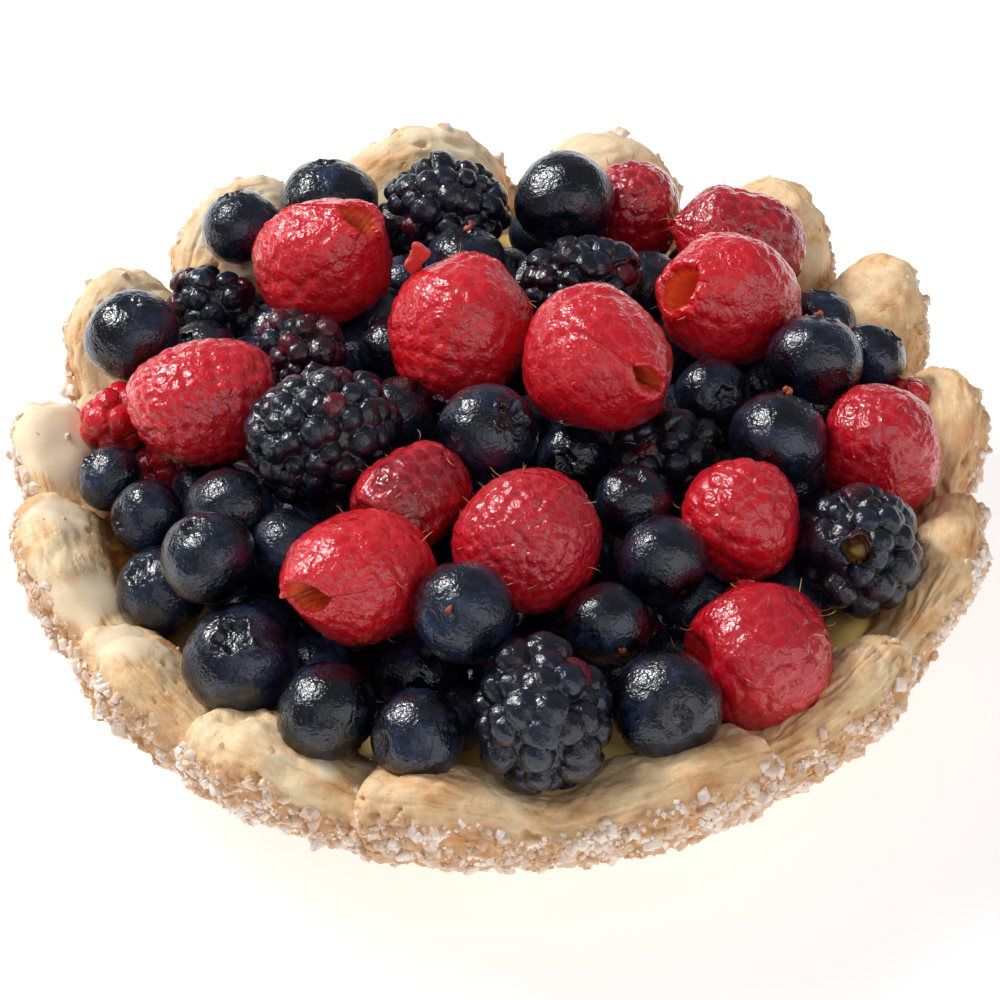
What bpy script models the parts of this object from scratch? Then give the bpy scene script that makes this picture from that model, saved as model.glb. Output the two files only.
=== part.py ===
"""Berry tart: a free-form sweet pastry crust of fifteen petals, filled with custard and
heaped with glazed blueberries, raspberries and brambles.

The sizes are in millimetres and the objects are built in metres, with +Z up. The origin
is the centre of the flat underside, and the front of the tart faces -Y.
"""
import math

import bmesh
import bpy
from mathutils import Matrix, Vector
from mathutils.bvhtree import BVHTree

MM = 0.001
GAP = 0.3                    # clearance between two solids that touch

# ---------------------------------------------------------------- crust, custard, bed
BASE_RADIUS = 46.0           # flat underside
FLOOR = 6.0                  # thickness of the dough under the custard
FOOT_RADIUS = 52.0           # the dough curves up from the underside through this ring
FOOT_HEIGHT = 5.0
BELLY_RADIUS = 61.5          # and turns up into the rim here
BELLY = 14.0
RIDGE_FRONT = 69.0           # top of the rim in a valley between two petals, at the front
RIDGE_BACK = 65.5            # and at the back, where the petals stand more upright
PETAL_PUSH = 2.0             # how much farther out a petal's head leans
HEAD_HEIGHT = 36.5           # top of a petal's head
VALLEY_FRONT = 30.0          # rim height between two petals at the front
VALLEY_BACK = 23.0           # and at the back, where the petals stand apart
REACH_FRONT = 5.5            # how far the rounded rim stands out beyond its ridge
REACH_BACK = 2.5
LIP = 2.0                    # how far inside its ridge the rim's inner edge lies
LIP_DROP = 0.6               # and how far below it
SKEW_FRONT = 2.0             # how far along a petal its head lies: 1 is its middle
SKEW_BACK = 1.2
HEAD_FULLNESS = 0.6          # below 1, a petal's head is broad and its valleys narrow
OUT_OF_ROUND = 1.4           # the hand-shaped rim bulges at the back left by this much
BULGE_BEARING = 145.0

CUSTARD_TOP = 21.0
CUSTARD_RADIUS = 57.4
CUSTARD_SIDES = 36
BED_RADIUS = 53.0            # the buried fruit and glaze that the berries lie on
BED_CROWN = 28.5
BED_EDGE = 22.5
BED_CLEARANCE = 2.0          # room between the bed and the berries that sit in it
BED_SIDES = 32
BED_RINGS = 8

# Each petal is a tongue of dough that starts low and rises to a rounded head, and the
# head laps over the next petal's low end. Bearings in degrees: low end, then head end.
PETALS = (
    (-86, -60), (-60, -36), (-36, -9), (-9, 19), (19, 40), (40, 62), (62, 87),
    (117, 87), (140, 117), (168, 140), (189, 168), (213, 189), (232, 213), (254, 232),
    (274, 254),
)
PETAL_STEPS = (0.0, 0.15, 0.4, 0.65, 0.82, 0.94)     # sections along one petal

# The inner face of the rim is steep, and no berry reaches outside this cone. Its foot
# and its top are a radius and a height each.
WALL_FOOT = (58.2, 21.3)
WALL_TOP_FRONT = (68.0, 34.5)
WALL_TOP_BACK = (64.5, 34.5)

# ---------------------------------------------------------------- berries
# One row for each berry: where its middle lies (x, y, z), how wide and how long it is,
# and where its crown or tip points: a bearing from +X and a rise above level, in degrees.
BLUEBERRIES = (
    (-28, 50, 35, 15, 13, 100, 65), (-41, 42, 37, 12, 11, 120, 60),
    (8, 45, 40, 15, 14, 90, -10), (-56, 18, 37, 14, 13, 80, 85),
    (-46, 22, 30, 11, 10, 200, 60), (-7, 34, 37, 12, 11, 90, 75),
    (-18, 19, 34, 10, 9, 150, 40), (-16, 2, 38, 11, 10, 20, 55),
    (21, 34, 33, 11, 10, 60, 70), (44, 9, 41, 14, 13, 75, 50),
    (38, -7, 41, 14, 13, 60, 45), (29, 6, 37, 11, 10, 300, 40),
    (-4, -9, 44, 14, 13, 331, 50), (-58, -6, 32, 10, 9, 170, 50),
    (-52, -15, 33, 11, 10, 210, 20), (-40, -17, 36, 13, 12, 100, 30),
    (-43, -29, 39, 13, 12, 160, 70), (-31, -25, 37, 12, 11, 60, 45),
    (-50, -27, 30, 13, 12, 195, 55), (-38, -43, 32, 16, 15, 250, 75),
    (-26, -53, 34, 14, 13, 334, -24), (-13, -58, 35, 13, 12, 30, -20),
    (-7, -44, 45, 14, 13, 55, -34), (13, -41, 39, 12, 11, 107, 9),
    (21, -31, 41, 13, 12, 120, 10), (17, -19, 40, 11, 10, 90, 87),
    (21, -53, 36, 15, 14, 99, -31), (46, 25, 33, 11, 10, 80, 60),
    (54, 15, 35, 10, 9, 20, 40), (-13, -43, 30, 11, 10, 270, 30),
    (9, -4, 34, 11, 10, 250, 40), (37, 18, 28, 10, 9, 300, 60),
)
RASPBERRIES = (
    (-28, 32, 40, 19, 22, 200, -15), (-8, 13, 43, 20, 22, 250, -45),
    (13, -1, 50, 21, 23, 200, -10), (32, 21, 42, 19, 22, 10, -30),
    (-44, 1, 40, 18, 21, 193, 5), (-22, -37, 41, 19, 21, 45, 20),
    (2, -29, 43, 20, 21, 270, 50), (32, -22, 40, 16, 17, 290, 70),
    (35, -43, 33, 20, 21, 285, -15), (53, -4, 36, 17, 19, 180, 75),
    (19, 50, 33, 13, 15, 60, 70), (33, 41, 35, 15, 21, 0, -18),
    (-15, -22, 42, 14, 16, 45, 0), (-58, 6, 32, 9, 11, 240, 30),
    (-51, 1, 28, 7, 8, 200, -20), (59, 12, 31, 6, 6, 60, 40),
)
BRAMBLES = (
    (-10, 47, 36, 16, 20, 5, 0), (10, 27, 40, 13, 18, 5, 5),
    (-45, 32, 30, 11, 15, 350, 0), (-27, -8, 43, 19, 22, 30, 0),
    (-31, 15, 37, 12, 15, 320, 10), (49, -24, 36, 18, 20, 80, -45),
    (22, -5, 36, 13, 16, 10, 0), (4, -57, 37, 19, 21, 270, -20),
)

# Half outlines, turned about Z. x is a share of the half width and z of the half length.
BLUEBERRY_OUTLINE = (
    (0.0, -1.0), (0.6, -0.83), (1.0, -0.25), (0.94, 0.42), (0.42, 1.0),
    (0.26, 0.72), (0.0, 0.68),
)
RASPBERRY_OUTLINE = (
    (0.0, -0.2), (0.36, -0.5), (0.5, -0.9), (0.74, -0.9), (1.0, -0.35),
    (0.94, 0.25), (0.6, 0.8), (0.0, 1.0),
)
BLUEBERRY_SIDES = 9
RASPBERRY_SIDES = 10
DRUPELET_RISE = 0.1          # how far a bramble's lumps stand out, as a share of its size
NUDGE = 0.15                 # one step of easing two berries apart
BERRY_GAP = 0.5              # the gap that easing leaves between two berries
EASE_LIFT = 0.6              # how much a berry rises for each step away from the rim
ROUNDS = 400                 # the most steps it may take
SHARP_EDGE = 50.0            # degrees between faces, past which an edge is drawn sharp


def material(name, colour, roughness):
    """A plain Principled material. The colour is given in linear red, green and blue."""
    made = bpy.data.materials.new(name)
    made.use_nodes = True
    shader = made.node_tree.nodes["Principled BSDF"]
    shader.inputs["Base Color"].default_value = (*colour, 1.0)
    shader.inputs["Roughness"].default_value = roughness
    shader.inputs["Metallic"].default_value = 0.0
    made.diffuse_color = (*colour, 1.0)
    return made


def add_object(name, mesh_data, finish):
    """Turn a bmesh in millimetres into a named object in metres."""
    bmesh.ops.scale(mesh_data, vec=(MM, MM, MM), verts=mesh_data.verts)
    bmesh.ops.recalc_face_normals(mesh_data, faces=mesh_data.faces)
    mesh = bpy.data.meshes.new(name)
    mesh_data.to_mesh(mesh)
    mesh_data.free()
    mesh.shade_smooth()
    mesh.set_sharp_from_angle(angle=math.radians(SHARP_EDGE))
    mesh.materials.append(finish)
    made = bpy.data.objects.new(name, mesh)
    bpy.context.scene.collection.objects.link(made)
    return made


def turned(outline, sides):
    """Spin a half outline about Z into a closed bmesh. Its ends lie on the axis."""
    shape = bmesh.new()
    points = [shape.verts.new((x, 0.0, z)) for x, z in outline]
    edges = [shape.edges.new(pair) for pair in zip(points, points[1:])]
    bmesh.ops.spin(
        shape, geom=points + edges, cent=(0, 0, 0), axis=(0, 0, 1),
        angle=math.tau, steps=sides, use_merge=True, use_duplicate=False,
    )
    bmesh.ops.remove_doubles(shape, verts=shape.verts, dist=1e-5)
    return shape


# ---------------------------------------------------------------- crust
def towards_back(bearing):
    """0 at the front of the tart, 1 at the back."""
    return (1.0 + math.sin(math.radians(bearing))) / 2


def blend(front, back, bearing):
    return front + (back - front) * towards_back(bearing)


def petal_rise(bearing):
    """0 in the valley between two petals, 1 on a petal's head. It climbs slowly from the
    low end and drops steeply past the head."""
    for low_end, head_end in PETALS:
        along = (bearing - low_end) / (head_end - low_end)
        if 0.0 <= along <= 1.0:
            skew = blend(SKEW_FRONT, SKEW_BACK, bearing)
            return math.sin(math.pi * along ** skew) ** HEAD_FULLNESS
    return 0.0


def section(bearing):
    """The crust's half section at one bearing, from the middle of the underside, up the
    outside, over the rim and down to the middle of the floor inside."""
    rise = petal_rise(bearing)
    valley = blend(VALLEY_FRONT, VALLEY_BACK, bearing)
    top = valley + (HEAD_HEIGHT - valley) * rise
    ridge = blend(RIDGE_FRONT, RIDGE_BACK, bearing) + PETAL_PUSH * rise
    ridge += OUT_OF_ROUND * math.cos(math.radians(bearing - BULGE_BEARING))
    reach = blend(REACH_FRONT, REACH_BACK, bearing)
    wall_radius, wall_height = WALL_FOOT
    lip_radius, lip_height = ridge - LIP, top - LIP_DROP
    return (
        (0.0, 0.0),
        (BASE_RADIUS, 0.0),
        (FOOT_RADIUS, FOOT_HEIGHT),
        (BELLY_RADIUS, BELLY),
        (ridge + 0.25 * reach, BELLY + 0.45 * (top - BELLY)),     # under the rim
        (ridge + reach, BELLY + 0.8 * (top - BELLY)),             # its widest place
        (ridge + 0.6 * reach, top - LIP_DROP),
        (ridge, top),
        (lip_radius, lip_height),
        ((wall_radius + lip_radius) / 2 + GAP, (wall_height + lip_height) / 2),
        (wall_radius, wall_height),
        (BASE_RADIUS, FLOOR),
        (0.0, FLOOR),
    )


def petal_bearings():
    """The bearings of the crust's sections, counter-clockwise from the front valley. Two
    heads meet at the back, so every petal's head end counts as well as its low end. The
    last petal's low end is the first one's, one turn on."""
    bearings = set()
    for low_end, head_end in PETALS:
        bearings.add(float(head_end))
        for step in PETAL_STEPS:
            bearings.add(round(low_end + step * (head_end - low_end), 3))
    bearings.discard(PETALS[0][0] + 360.0)
    return sorted(bearings)


def crust(finish):
    """One closed dough shell. Every section has the same points, so an evenly turned
    shape is made first, with its rings of points one above the other, and each point is
    then put in its place."""
    bearings = petal_bearings()
    stacked = [(out, place) for place, (out, up) in enumerate(section(bearings[0]))]
    shape = turned(stacked, len(bearings))
    turn = math.tau / len(bearings)
    for point in shape.verts:
        place = round(point.co.z)
        column = round(math.atan2(point.co.y, point.co.x) / turn) % len(bearings)
        bearing = bearings[column]
        out, up = section(bearing)[place]
        angle = math.radians(bearing)
        point.co = (out * math.cos(angle), out * math.sin(angle), up)
    return add_object("crust", shape, finish)


def custard(finish):
    """The filling runs through the whole tart and fills the shell below the rim."""
    outline = (
        (0.0, FLOOR + GAP),
        (BASE_RADIUS - 1.5 * GAP, FLOOR + GAP),
        (CUSTARD_RADIUS, CUSTARD_TOP),
        (0.0, CUSTARD_TOP),
    )
    return add_object("custard", turned(outline, CUSTARD_SIDES), finish)


# ---------------------------------------------------------------- berries
def blueberry(width, length):
    shape = turned(BLUEBERRY_OUTLINE, BLUEBERRY_SIDES)
    bmesh.ops.scale(shape, vec=(width / 2, width / 2, length / 2), verts=shape.verts)
    return shape


def raspberry(width, length):
    """A hollow thimble: the open end is where the core was pulled out."""
    shape = turned(RASPBERRY_OUTLINE, RASPBERRY_SIDES)
    bmesh.ops.scale(shape, vec=(width / 2, width / 2, length / 2), verts=shape.verts)
    return shape


def bramble(width, length):
    """A ball of lumps: the points of a coarse ball stay out, and the points halfway
    between them sink in."""
    shape = bmesh.new()
    bmesh.ops.create_icosphere(shape, subdivisions=2, radius=1.0)
    lumps = [point.co.copy() for point in shape.verts]
    shape.free()
    shape = bmesh.new()
    bmesh.ops.create_icosphere(shape, subdivisions=3, radius=1.0)
    for point in shape.verts:
        is_lump = min((point.co - lump).length for lump in lumps) < 0.01
        if not is_lump:
            point.co *= 1.0 - DRUPELET_RISE
    bmesh.ops.scale(shape, vec=(width / 2, width / 2, length / 2), verts=shape.verts)
    return shape


def aim(bearing, rise):
    """The turn that points +Z along a bearing and a rise, both in degrees."""
    return Matrix.Rotation(math.radians(bearing), 4, "Z") @ Matrix.Rotation(
        math.radians(90 - rise), 4, "Y"
    )


def lay_out():
    """Shape and turn every berry. Gives rows of name, bmesh and the place of its middle."""
    rows = []
    kinds = (
        ("blueberry", blueberry, BLUEBERRIES),
        ("raspberry", raspberry, RASPBERRIES),
        ("bramble", bramble, BRAMBLES),
    )
    for kind, make, places in kinds:
        for number, (x, y, z, width, length, bearing, rise) in enumerate(places, 1):
            shape = make(width, length)
            bmesh.ops.transform(shape, matrix=aim(bearing, rise), verts=shape.verts)
            rows.append([f"{kind}_{number:02d}", shape, Vector((x, y, z))])
    return rows


def grown_hull(shape, middle):
    """A search tree of the berry, grown by half the gap that neighbours keep."""
    reach = max(point.co.length for point in shape.verts)
    grow = 1.0 + BERRY_GAP / 2 / reach
    points = [middle + grow * point.co for point in shape.verts]
    faces = [[point.index for point in face.verts] for face in shape.faces]
    return BVHTree.FromPolygons(points, faces)


def wall_room(point):
    """How far a point lies inside the steep inner face of the rim."""
    bearing = math.degrees(math.atan2(point.y, point.x))
    top_radius = blend(WALL_TOP_FRONT[0], WALL_TOP_BACK[0], bearing)
    top_height = blend(WALL_TOP_FRONT[1], WALL_TOP_BACK[1], bearing)
    top_radius += OUT_OF_ROUND * math.cos(math.radians(bearing - BULGE_BEARING))
    run = top_radius - WALL_FOOT[0]
    climb = top_height - WALL_FOOT[1]
    out = math.hypot(point.x, point.y)
    across = (top_radius - out) * climb - (top_height - point.z) * run
    return across / math.hypot(run, climb)


def ease_apart(rows):
    """Nudge berries until none touches another, the rim or the custard."""
    for shape in (row[1] for row in rows):
        shape.verts.index_update()
    reach = [max(point.co.length for point in row[1].verts) for row in rows]
    for _ in range(ROUNDS):
        trees = [grown_hull(row[1], row[2]) for row in rows]
        pushes = [Vector() for _ in rows]
        for first in range(len(rows)):
            for second in range(first + 1, len(rows)):
                apart = rows[second][2] - rows[first][2]
                if apart.length > reach[first] + reach[second] + 2 * BERRY_GAP:
                    continue
                if trees[first].overlap(trees[second]):
                    pushes[first] -= apart.normalized() * NUDGE
                    pushes[second] += apart.normalized() * NUDGE
        for place, (_, shape, middle) in enumerate(rows):
            points = [middle + point.co for point in shape.verts]
            in_wall = GAP - min(wall_room(point) for point in points)
            sunk = CUSTARD_TOP + GAP - min(point.z for point in points)
            step = 3 * NUDGE
            if in_wall > 0:
                away = -Vector((middle.x, middle.y, 0)).normalized()
                away.z = EASE_LIFT
                pushes[place] += away * min(in_wall, step)
            if sunk > 0:
                pushes[place].z += min(sunk, step)
        if all(push.length < 1e-6 for push in pushes):
            break
        for row, push in zip(rows, pushes):
            row[2] += push
    return rows


def fruit_bed(rows, finish):
    """The fruit that lies buried in glaze under the berries, as one low dome. It is
    dished wherever a berry sits in it."""
    underside = CUSTARD_TOP + GAP
    outline = [(0.0, underside), (BED_RADIUS, underside)]
    for ring in range(BED_RINGS, -1, -1):
        outline.append((BED_RADIUS * ring / BED_RINGS, BED_CROWN))
    shape = turned(outline, BED_SIDES)
    for point in shape.verts:
        if point.co.z < BED_CROWN - GAP:
            continue
        out = math.hypot(point.co.x, point.co.y)
        up = BED_CROWN + (BED_EDGE - BED_CROWN) * (out / BED_RADIUS) ** 2
        for _, berry, middle in rows:
            reach = max(spot.co.length for spot in berry.verts) + BED_CLEARANCE
            aside = math.hypot(point.co.x - middle.x, point.co.y - middle.y)
            if aside < reach:
                up = min(up, middle.z - math.sqrt(reach ** 2 - aside ** 2))
        point.co.z = max(up, underside + GAP)
    return add_object("fruit_bed", shape, finish)


def main():
    for old in list(bpy.data.objects):
        bpy.data.objects.remove(old)
    dough = material("baked_sweet_pastry", (0.76, 0.53, 0.26), 0.7)
    cream = material("vanilla_custard", (0.78, 0.61, 0.2), 0.35)
    finishes = {
        "blueberry": material("blueberry_skin", (0.015, 0.022, 0.05), 0.35),
        "raspberry": material("raspberry_flesh", (0.6, 0.01, 0.02), 0.3),
        "bramble": material("bramble_skin", (0.015, 0.008, 0.015), 0.2),
    }
    buried = material("glazed_buried_fruit", (0.03, 0.005, 0.012), 0.15)
    crust(dough)
    custard(cream)
    rows = ease_apart(lay_out())
    fruit_bed(rows, buried)
    for name, shape, middle in rows:
        bmesh.ops.translate(shape, vec=middle, verts=shape.verts)
        add_object(name, shape, finishes[name.split("_")[0]])


main()
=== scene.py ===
# %% [markdown]
# # A berry tart, from dough to glaze
#
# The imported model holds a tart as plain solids: one crust, one disc of custard, a low bed
# of buried fruit, and 56 berries. This lesson gives every one of them its looks. The plain
# solids say where each thing lies and how large it is, so nothing here is placed by eye.

# %% Load the frame
import math

import bmesh
import bpy
import numpy as np
from mathutils import Matrix, Vector, noise


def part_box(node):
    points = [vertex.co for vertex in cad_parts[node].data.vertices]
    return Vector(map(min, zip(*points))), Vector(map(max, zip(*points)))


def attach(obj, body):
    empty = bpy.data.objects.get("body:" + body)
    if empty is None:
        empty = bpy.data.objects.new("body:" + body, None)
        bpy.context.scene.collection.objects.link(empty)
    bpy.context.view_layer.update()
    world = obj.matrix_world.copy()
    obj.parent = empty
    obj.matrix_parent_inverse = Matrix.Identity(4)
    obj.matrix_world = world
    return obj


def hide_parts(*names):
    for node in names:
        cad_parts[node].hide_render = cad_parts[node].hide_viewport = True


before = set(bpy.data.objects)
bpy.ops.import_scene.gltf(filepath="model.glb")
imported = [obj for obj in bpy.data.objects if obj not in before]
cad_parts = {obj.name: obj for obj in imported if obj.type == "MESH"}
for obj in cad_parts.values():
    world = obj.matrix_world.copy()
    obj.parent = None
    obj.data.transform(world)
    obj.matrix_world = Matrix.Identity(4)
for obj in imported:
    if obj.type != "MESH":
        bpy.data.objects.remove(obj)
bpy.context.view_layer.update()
scene = bpy.context.scene
MM = 0.001                           # shapes are made in millimetres

# %% [markdown]
# ## Camera, floor and light
#
# Food is usually shot from about the height of someone who is about to eat it, with a long
# lens, which keeps the round rim from looking stretched. The light comes from behind on
# the left, out of a small bright soft box and a broad dim one. They rake across the dough
# and leave a highlight on the upper left of every wet berry. Two wide boxes in front, a
# pale floor and a pale surrounding fill the rest.

# %% Camera
VIEW_RISE = math.radians(46)
VIEW_DISTANCE = 0.62                 # metres
LENS = 151.2                         # mm, on a film of the next width
FILM_WIDTH = 36
AIM_ASIDE = -1.77 * MM               # the tart sits a little right of the middle
AIM_UP = 0.74 * MM

back = Vector((0, -math.cos(VIEW_RISE), math.sin(VIEW_RISE)))
upward = Vector((0, math.sin(VIEW_RISE), math.cos(VIEW_RISE)))
aim_point = Vector((AIM_ASIDE, 0, 20 * MM)) + AIM_UP * upward
lens = bpy.data.cameras.new("camera")
lens.lens = LENS
lens.sensor_width = FILM_WIDTH
camera = bpy.data.objects.new("camera", lens)
camera.location = aim_point + VIEW_DISTANCE * back
camera.rotation_euler = (math.pi / 2 - VIEW_RISE, 0, 0)
scene.collection.objects.link(camera)
bpy.context.scene.camera = camera
print("the camera looks at", [round(v / MM, 1) for v in aim_point], "mm")

# %% [markdown]
# The four lights are square soft boxes that face the point the camera looks at. The view
# transform is the plain one, so that the hex colours below mean what they say.

# %% Light
SOFT_BOXES = (                       # name, direction, distance and side in metres, watts
    ("key_light", (-0.62, 0.42, 0.67), 0.75, 0.14, 2.8),
    ("broad_key", (-0.62, 0.30, 0.72), 0.85, 0.5, 3.9),
    ("right_fill", (0.80, -0.70, 0.50), 0.95, 0.8, 2.3),
    ("front_fill", (0.05, -0.70, 0.70), 1.1, 1.0, 1.8),
)

scene.view_settings.view_transform = "Standard"
surround = bpy.data.worlds.new("pale_surround")
surround.use_nodes = True
background = surround.node_tree.nodes["Background"]
background.inputs["Color"].default_value = (0.9, 0.95, 1.08, 1)
background.inputs["Strength"].default_value = 0.23
scene.world = surround

for name, direction, distance, side, power in SOFT_BOXES:
    data = bpy.data.lights.new(name, "AREA")
    data.size = side
    data.energy = power
    made = bpy.data.objects.new(name, data)
    towards = Vector(direction).normalized()
    made.location = aim_point + distance * towards
    made.rotation_euler = towards.to_track_quat("Z", "Y").to_euler()
    scene.collection.objects.link(made)

print("soft boxes:", len(SOFT_BOXES))

# %% [markdown]
# ## Helpers for materials
#
# Colours are written as the hex values a painter would pick on screen, and one function
# turns them linear. One more function adds a node with its settings and its links, which
# keeps each material's recipe short enough to read.

# %% Colours and nodes
def colour(hex_value):
    """A linear RGBA colour from an sRGB hex value such as "E2C08A"."""
    channels = [int(hex_value[place:place + 2], 16) / 255 for place in (0, 2, 4)]
    return [*(c / 12.92 if c <= 0.04045 else ((c + 0.055) / 1.055) ** 2.4 for c in channels), 1]


def grey(value):
    return (value, value, value, 1)


def add_node(tree, kind, settings=None, links=None):
    """Add a node. Settings name a property, a socket or a ramp; links go from a socket."""
    node = tree.nodes.new("ShaderNode" + kind)
    for name, value in (settings or {}).items():
        if name == "ramp":
            for place, (position, tint) in enumerate(value):
                if place > 1:
                    node.color_ramp.elements.new(position)
                node.color_ramp.elements[place].position = position
                node.color_ramp.elements[place].color = tint
        elif isinstance(name, str) and hasattr(node, name):
            setattr(node, name, value)
        else:
            node.inputs[name].default_value = value
    for name, source in (links or {}).items():
        tree.links.new(source, node.inputs[name])
    return node


def new_finish(name):
    """An empty material with its tree, its shader and its Object coordinates."""
    finish = bpy.data.materials.new(name)
    finish.use_nodes = True
    tree = finish.node_tree
    shader = tree.nodes["Principled BSDF"]
    place = add_node(tree, "TexCoord").outputs["Object"]
    return finish, tree, shader, place


def set_sockets(shader, values):
    """Set what is the same all over a surface, on the shader's own sockets."""
    for name, value in values.items():
        shader.inputs[name].default_value = value


def painted_value(tree, name):
    """A number that was painted on the points of a mesh."""
    return add_node(tree, "Attribute", {"attribute_name": name}).outputs["Fac"]


def grain(tree, place, size, detail=3.0, roughness=0.5, distortion=0.0):
    """Smooth noise whose lumps are about `size` millimetres wide, from 0 to 1."""
    settings = {"Scale": 0.6 / (size * MM), "Detail": detail, "Roughness": roughness,
                "Distortion": distortion}
    return add_node(tree, "TexNoise", settings, {"Vector": place}).outputs["Fac"]


def ramp(tree, source, *stops):
    """A colour ramp of (position, colour) stops. Its colour output is the result."""
    return add_node(tree, "ValToRGB", {"ramp": stops}, {"Fac": source}).outputs["Color"]


def step_up(tree, source, low, high):
    """0 below `low`, 1 above `high` and a smooth climb in between."""
    settings = {"interpolation_type": "SMOOTHSTEP", "From Min": low, "From Max": high}
    return add_node(tree, "MapRange", settings, {"Value": source}).outputs["Result"]


def mix(tree, share, first, second):
    """A colour between two others. Each may be a colour or another node's output."""
    node = add_node(tree, "Mix", {"data_type": "RGBA"})
    for place, value in ((0, share), (6, first), (7, second)):
        if isinstance(value, bpy.types.NodeSocket):
            tree.links.new(value, node.inputs[place])
        else:
            node.inputs[place].default_value = value
    return node.outputs[2]


def combine(tree, operation, first, second):
    """One Math node on two values or outputs."""
    node = add_node(tree, "Math", {"operation": operation})
    for place, value in enumerate((first, second)):
        if isinstance(value, bpy.types.NodeSocket):
            tree.links.new(value, node.inputs[place])
        else:
            node.inputs[place].default_value = value
    return node.outputs[0]


def scaled(tree, source, factor):
    return combine(tree, "MULTIPLY", source, factor)


def add_bump(tree, shader, height, strength, depth, coated=False):
    """Relief `depth` millimetres deep, too fine for the mesh. It can shape the coat too."""
    settings = {"Strength": strength, "Distance": depth * MM}
    normal = add_node(tree, "Bump", settings, {"Height": height}).outputs["Normal"]
    tree.links.new(normal, shader.inputs["Normal"])
    if coated:
        tree.links.new(normal, shader.inputs["Coat Normal"])


print("crust gold in linear light:", [round(c, 3) for c in colour("E2C08A")])

# %% [markdown]
# ## Helpers for shapes
#
# Dough and fruit are rounded and uneven. The quickest way to such a shape is to start from
# a fine ball or a turned outline, made by one operator, and then to move all its points at
# once with a formula. NumPy moves a whole mesh in one step.

# %% Read, move and measure points
BALLS = {}                           # each kind of ball is made once and then copied


def unit_ball(around, along):
    """A smooth ball with a radius of 1 and its poles on Z."""
    if (around, along) not in BALLS:
        shape = bmesh.new()
        bmesh.ops.create_uvsphere(shape, u_segments=around, v_segments=along, radius=1.0)
        BALLS[around, along] = as_mesh(shape)
    return BALLS[around, along].copy()


def put_in_order(shape):
    """Sort the faces by their points. Operators list them in another order each run, and the
    sugar is drawn by face, so without this its grains would lie elsewhere every time."""
    shape.verts.index_update()
    count = len(shape.verts)

    def rank(face):
        low, middle, high = sorted(corner.index for corner in face.verts)[:3]
        return (low * count + middle) * count + high

    shape.faces.sort(key=rank)


def as_mesh(shape):
    put_in_order(shape)
    mesh = bpy.data.meshes.new("shape")
    shape.to_mesh(mesh)
    shape.free()
    mesh.shade_smooth()
    return mesh


def read_numbers(items, name, width=1, kind=np.float32):
    """An array with one number, or a row of them, for each item of mesh data."""
    flat = np.empty(width * len(items), kind)
    items.foreach_get(name, flat)
    return flat.reshape(-1, width) if width > 1 else flat


def read_points(mesh):
    return read_numbers(mesh.vertices, "co", 3).astype(float)


def write_points(mesh, points):
    mesh.vertices.foreach_set("co", points.astype(np.float32).ravel())
    mesh.update()


def face_outwards(mesh):
    """Turn every face of a closed mesh outwards."""
    shape = bmesh.new()
    shape.from_mesh(mesh)
    bmesh.ops.recalc_face_normals(shape, faces=shape.faces)
    shape.to_mesh(mesh)
    shape.free()
    mesh.shade_smooth()


def read_normals(mesh):
    return read_numbers(mesh.vertex_normals, "vector", 3).astype(float)


def lumps(points, size, octaves=2, seed=0.0):
    """Smooth noise from about -1 to 1 whose lumps are `size` millimetres wide."""
    scaled = (points / size + seed).tolist()
    return np.array([noise.fractal(Vector(p), 1.0, 2.0, octaves) for p in scaled])


def smooth_step(low, high, values):
    share = np.clip((values - low) / (high - low), 0, 1)
    return share * share * (3 - 2 * share)


def curve_between(a, b, c, d, f):
    """A smooth curve from b to c, whose neighbours are a and d, at share f of the way."""
    bend = (2 * a - 5 * b + 4 * c - d) * f ** 2 + (3 * b - a - 3 * c + d) * f ** 3
    return b + 0.5 * ((c - a) * f + bend)


def on_circle(bearing, radius):
    """X and Y of a spot on a circle about the middle, at a bearing in degrees."""
    angle = math.radians(bearing)
    return radius * math.cos(angle), radius * math.sin(angle)


def paint(mesh, name, values):
    """Store one number for each point, for a material to read."""
    layer = mesh.attributes.new(name, "FLOAT", "POINT")
    layer.data.foreach_set("value", np.clip(values, 0, 1).astype(np.float32))


def add_piece(name, mesh, finish, stands_for=()):
    """Put finished mesh data in the scene. Its points are in millimetres until now."""
    write_points(mesh, read_points(mesh) * MM)
    mesh.name = name
    mesh.materials.clear()
    mesh.materials.append(finish)
    made = bpy.data.objects.new(name, mesh)
    scene.collection.objects.link(made)
    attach(made, "root")
    if stands_for:
        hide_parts(*stands_for)


print("a ball of 32 by 16 has", len(unit_ball(32, 16).vertices), "points")

# %% [markdown]
# ## The rim: fifteen petals of dough
#
# The baker cut the edge of a sweet pastry sheet into tongues and folded them up. Each one
# starts low, rises to a rounded head, and the head laps over the next one's low end. One
# mesh could copy that outline but not the overlap, so every petal is a closed volume of
# its own. It starts as a ball whose poles become the petal's two ends. Each ring of the
# ball becomes one section through the rim.

# %% Petal sections
# The paleness column is painted light: it makes the petals on the side the lights come from paler.
PETALS = (                           # bearings of the low end and the head, flakiness, paleness
    (-86, -60, 0.5, 0.2), (-60, -36, 1.3, 0.1), (-36, -9, 1.2, 0.1), (-9, 21, 1.0, 0.1),
    (22, 42, 0.9, 0.15), (43, 62, 1.2, 0.15), (66, 88, 0.7, 0.7), (117, 88, 0.4, 0.9),
    (140, 117, 0.5, 0.8), (164, 141, 0.5, 0.6), (189, 168, 0.3, 0.3), (213, 189, 0.5, 0.4),
    (232, 213, 0.5, 0.35), (254, 232, 0.5, 0.3), (274, 254, 0.8, 0.2),
)
HEAD_HEIGHT = (34.8, 34.2)           # at the front and at the back
VALLEY_HEIGHT = (29.5, 21.0)
REACH = (4.0, 3.0)                   # how far the rim's outside stands beyond its ridge
RIDGE_RADIUS = 66.9
BELLY = 14.0                         # height where the outer wall turns up into the rim
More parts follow.
